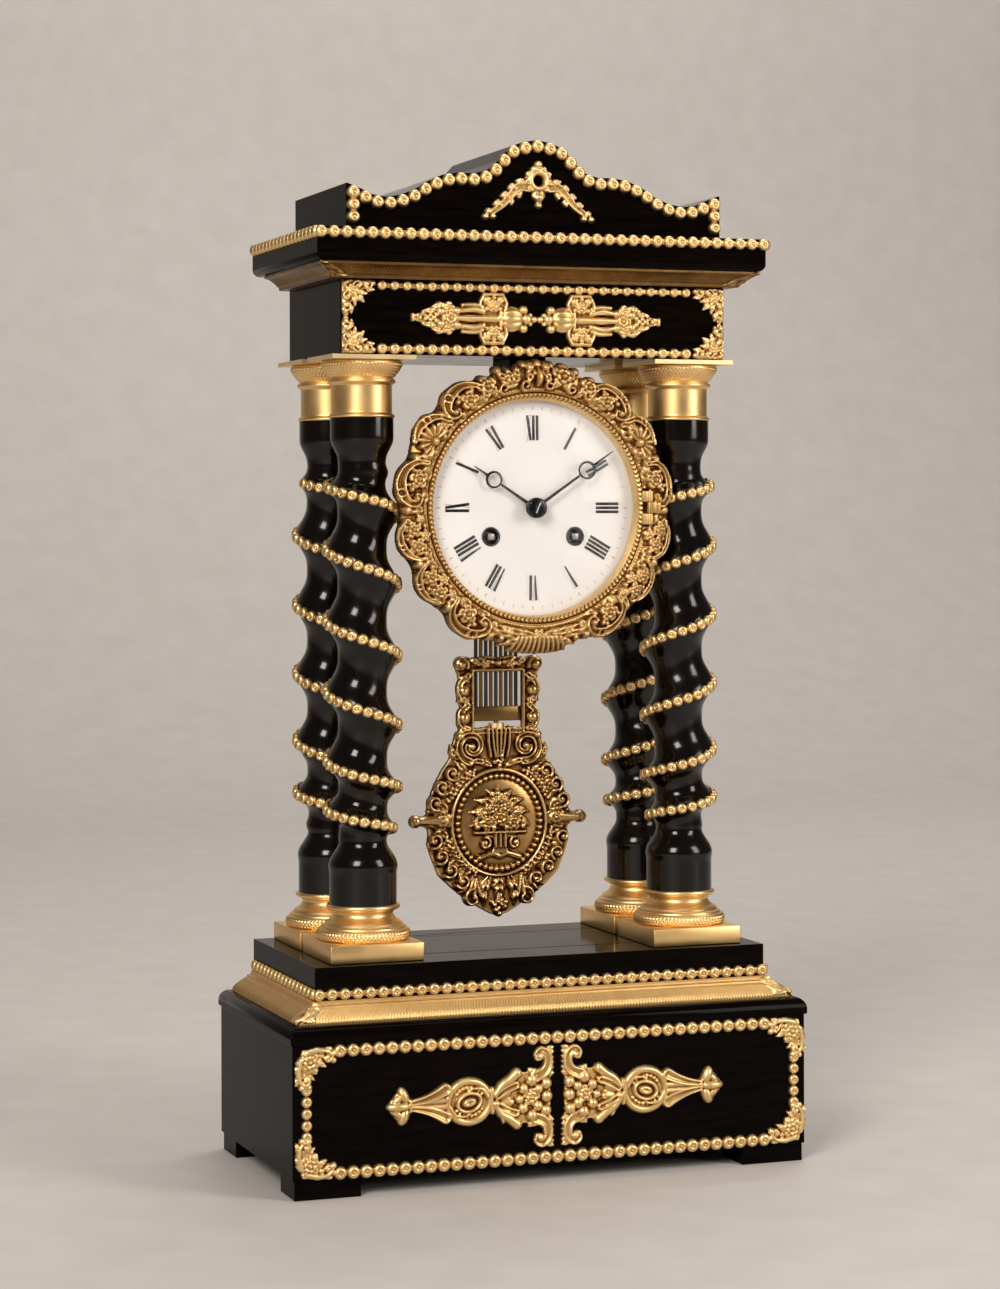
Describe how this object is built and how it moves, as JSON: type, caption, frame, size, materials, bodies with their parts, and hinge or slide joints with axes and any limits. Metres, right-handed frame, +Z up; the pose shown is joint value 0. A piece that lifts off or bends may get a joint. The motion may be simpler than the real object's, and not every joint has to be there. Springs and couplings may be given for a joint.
{
  "type": "portico clock",
  "caption": "Portico clock with an ebonised case on twisted columns, gilt mounts, hung drum movement with glazed dial and ornamental pendulum.",
  "frame": {"origin": "on the floor under the middle of the clock, front mounts included", "axes": "+X to the right, +Y to the back, +Z up; the dial faces -Y"},
  "size_m": [0.252, 0.13, 0.4773],
  "materials": {
    "ebonised_wood": "polished",
    "gilt_brass": "satin gilt",
    "movement_brass": "brushed",
    "steel": "brushed",
    "blued_steel": "blued",
    "enamel": "glossy",
    "glass": "clear"
  },
  "bodies": {
    "case": {"base_box": "ebonised_wood", "base_feet": "ebonised_wood", "ledge": "ebonised_wood", "base_beads": "gilt_brass", "base_corners": "gilt_brass", "base_mounts": "gilt_brass", "plinth_block": "ebonised_wood", "plinth_moulding": "gilt_brass", "plinth_beads": "gilt_brass", "column_bases": "gilt_brass", "shaft_front_left": "ebonised_wood", "shaft_front_right": "ebonised_wood", "shaft_rear_left": "ebonised_wood", "shaft_rear_right": "ebonised_wood", "crest_beads": "gilt_brass", "capitals": "gilt_brass", "abacus_plates": "gilt_brass", "tie_rods": "steel", "frieze_box": "ebonised_wood", "frieze_beads": "gilt_brass", "frieze_corners": "gilt_brass", "frieze_mounts": "gilt_brass", "cornice_moulding": "gilt_brass", "cornice_board": "ebonised_wood", "cornice_beads": "gilt_brass", "pediment": "ebonised_wood", "pediment_beads": "gilt_brass", "pediment_mount": "gilt_brass", "saddle": "ebonised_wood", "drum": "movement_brass", "surround": "gilt_brass", "dial": "enamel", "front_plate": "movement_brass", "back_plate": "movement_brass", "pillars": "movement_brass", "back_cock": "movement_brass", "bell": "movement_brass", "bell_stand": "steel"},
    "door": {"door_ring": "gilt_brass", "door_glass": "glass"},
    "minute": {"minute_hand": "blued_steel", "cannon_pinion": "steel", "centre_wheel": "movement_brass"},
    "hour": {"hour_hand": "blued_steel", "hour_wheel": "movement_brass"},
    "motion": {"minute_wheel": "movement_brass"},
    "second": {"second_wheel": "movement_brass"},
    "third": {"third_wheel": "movement_brass"},
    "escape": {"escape_wheel": "movement_brass"},
    "pallets": {"pallets": "steel"},
    "going_barrel": {"going_barrel": "movement_brass"},
    "strike_barrel": {"strike_barrel": "movement_brass"},
    "going_winding": {"going_winding_arbor": "steel"},
    "strike_winding": {"strike_winding_arbor": "steel"},
    "hammer": {"hammer": "steel"},
    "pendulum": {"suspension_spring": "steel", "gridiron": "gilt_brass", "pendulum_frame": "gilt_brass", "pendulum_bob": "gilt_brass"},
    "rating_nut": {"rating_nut": "gilt_brass"}
  },
  "joints": [
    {"name": "door_swing", "type": "hinge", "parent": "case", "child": "door", "pos_m": [0.0556, -0.03939, 0.307], "axis": [0, 0, 1], "range_deg": [0, 100]},
    {"name": "minute_turn", "type": "hinge", "parent": "case", "child": "minute", "pos_m": [0, 0, 0.307], "axis": [0, 1, 0], "continuous": true},
    {"name": "hour_turn", "type": "hinge", "parent": "case", "child": "hour", "pos_m": [0, 0, 0.307], "axis": [0, 1, 0], "continuous": true},
    {"name": "motion_turn", "type": "hinge", "parent": "case", "child": "motion", "pos_m": [0, 0, 0.3238], "axis": [0, 1, 0], "continuous": true},
    {"name": "second_turn", "type": "hinge", "parent": "case", "child": "second", "pos_m": [0.01648, 0, 0.31424], "axis": [0, 1, 0], "continuous": true},
    {"name": "third_turn", "type": "hinge", "parent": "case", "child": "third", "pos_m": [-0.01169, 0, 0.32016], "axis": [0, 1, 0], "continuous": true},
    {"name": "escape_turn", "type": "hinge", "parent": "case", "child": "escape", "pos_m": [0, 0, 0.3295], "axis": [0, 1, 0], "continuous": true},
    {"name": "going_barrel_turn", "type": "hinge", "parent": "case", "child": "going_barrel", "pos_m": [0.02085, 0, 0.2937], "axis": [0, 1, 0], "continuous": true},
    {"name": "strike_barrel_turn", "type": "hinge", "parent": "case", "child": "strike_barrel", "pos_m": [-0.02085, 0, 0.2937], "axis": [0, 1, 0], "continuous": true},
    {"name": "going_winding_turn", "type": "hinge", "parent": "case", "child": "going_winding", "pos_m": [0.02085, 0, 0.2937], "axis": [0, 1, 0], "continuous": true},
    {"name": "strike_winding_turn", "type": "hinge", "parent": "case", "child": "strike_winding", "pos_m": [-0.02085, 0, 0.2937], "axis": [0, 1, 0], "continuous": true},
    {"name": "pendulum_swing", "type": "hinge", "parent": "case", "child": "pendulum", "pos_m": [0, 0, 0.3415], "axis": [0, 1, 0], "range_deg": [-3.5, 3.5]},
    {"name": "pallets_swing", "type": "hinge", "parent": "case", "child": "pallets", "pos_m": [0, 0, 0.3415], "axis": [0, 1, 0], "range_deg": [-3.5, 3.5]},
    {"name": "hammer_lift", "type": "hinge", "parent": "case", "child": "hammer", "pos_m": [-0.036, 0, 0.283], "axis": [0, -1, 0], "range_deg": [0, 14]},
    {"name": "rating_nut_turn", "type": "hinge", "parent": "pendulum", "child": "rating_nut", "pos_m": [0, 0.02, 0.2025], "axis": [0, 0, 1], "continuous": true}
  ],
  "couplings": [
    {"joint": "hour_turn", "follows": "minute_turn", "ratio": 0.083333},
    {"joint": "motion_turn", "follows": "minute_turn", "ratio": -0.33333},
    {"joint": "second_turn", "follows": "minute_turn", "ratio": -0.2},
    {"joint": "third_turn", "follows": "minute_turn", "ratio": -10},
    {"joint": "escape_turn", "follows": "minute_turn", "ratio": 100},
    {"joint": "going_barrel_turn", "follows": "minute_turn", "ratio": 0.033333},
    {"joint": "pallets_swing", "follows": "pendulum_swing", "ratio": 1}
  ]
}
